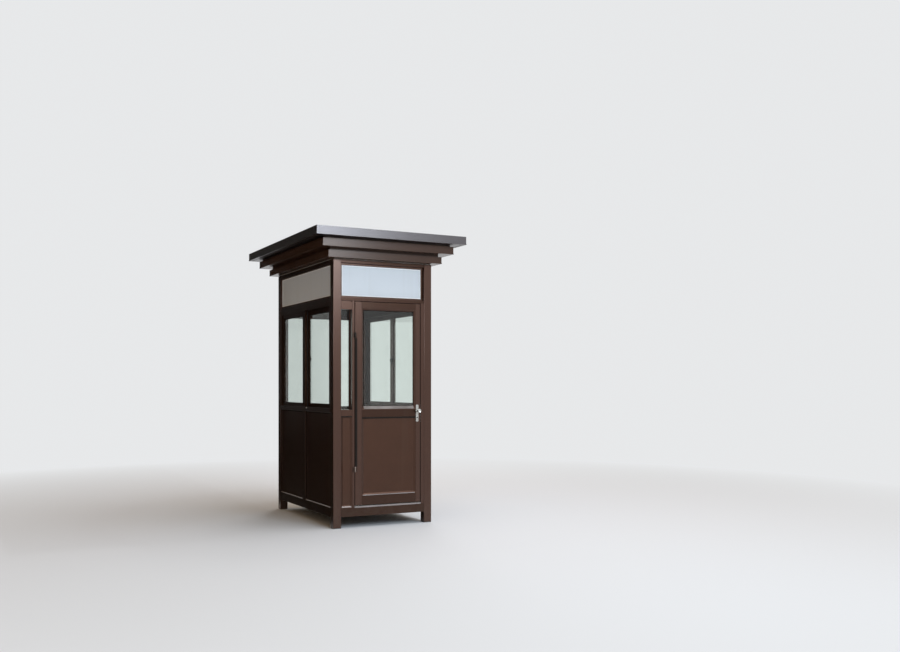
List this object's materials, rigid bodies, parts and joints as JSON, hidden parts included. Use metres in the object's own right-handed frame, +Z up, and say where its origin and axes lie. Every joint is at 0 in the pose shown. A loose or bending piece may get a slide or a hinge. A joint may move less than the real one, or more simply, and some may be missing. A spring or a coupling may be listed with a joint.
{
  "type": "security guard booth",
  "caption": "Small aluminium guard booth on corner posts with a stepped flat roof, frosted top lights, a hinged glazed door with sidelight, and sliding side windows.",
  "frame": {"origin": "on the ground under the middle of the booth, at the centre of the roof's outline", "axes": "+Z up, +X along the short side, the door face towards -Y"},
  "size_m": [1.5, 2.14, 2.723],
  "materials": {
    "bronze_profile": "satin dark bronze powder coat",
    "roof_sheet": "satin dark bronze coated sheet",
    "infill_panel": "satin dark bronze panel",
    "clear_glass": "clear float glass with a green edge",
    "frosted_panel": "frosted white, satin",
    "black_rubber": "matt black",
    "bright_metal": "brushed",
    "floor_deck": "grey vinyl",
    "ceiling_sheet": "matt off-white",
    "black_plastic": "matt black"
  },
  "bodies": {
    "booth": {"front_posts": "bronze_profile", "back_posts": "bronze_profile", "post_feet": "black_plastic", "base_rails": "bronze_profile", "floor_panel": "floor_deck", "floor_joists": "bronze_profile", "transom_rails": "bronze_profile", "head_rails": "bronze_profile", "top_panels": "frosted_panel", "top_panel_beads": "bronze_profile", "front_mullion": "bronze_profile", "door_frame": "bronze_profile", "door_stops": "bronze_profile", "sidelight_frame": "bronze_profile", "sidelight_glass": "clear_glass", "sidelight_panel": "infill_panel", "door_frame_hinges": "bright_metal", "window_track_left": "bronze_profile", "window_track_right": "bronze_profile", "outer_sash_left": "bronze_profile", "outer_sash_right": "bronze_profile", "inner_sash_left": "bronze_profile", "inner_sash_right": "bronze_profile", "window_glass_left": "clear_glass", "window_glass_right": "clear_glass", "window_latches": "black_plastic", "lower_muntins": "bronze_profile", "lower_panels_left": "infill_panel", "lower_panels_right": "infill_panel", "lower_panels_back": "infill_panel", "back_window_frame": "bronze_profile", "back_window_glass": "clear_glass", "back_sill": "bronze_profile", "ceiling_panel": "ceiling_sheet", "roof_tier_lower": "roof_sheet", "roof_tier_middle": "roof_sheet", "roof_slab": "roof_sheet"},
    "door": {"door_stiles": "bronze_profile", "door_rails": "bronze_profile", "door_glass": "clear_glass", "door_beads": "bronze_profile", "door_panel": "infill_panel", "door_seal": "black_rubber", "door_hinges": "bright_metal", "door_handles": "bright_metal"}
  },
  "joints": [
    {"name": "door_swing", "type": "hinge", "parent": "booth", "child": "door", "pos_m": [-0.2885, -0.829, 0.2], "axis": [0, 0, -1], "range_deg": [0, 100]}
  ]
}
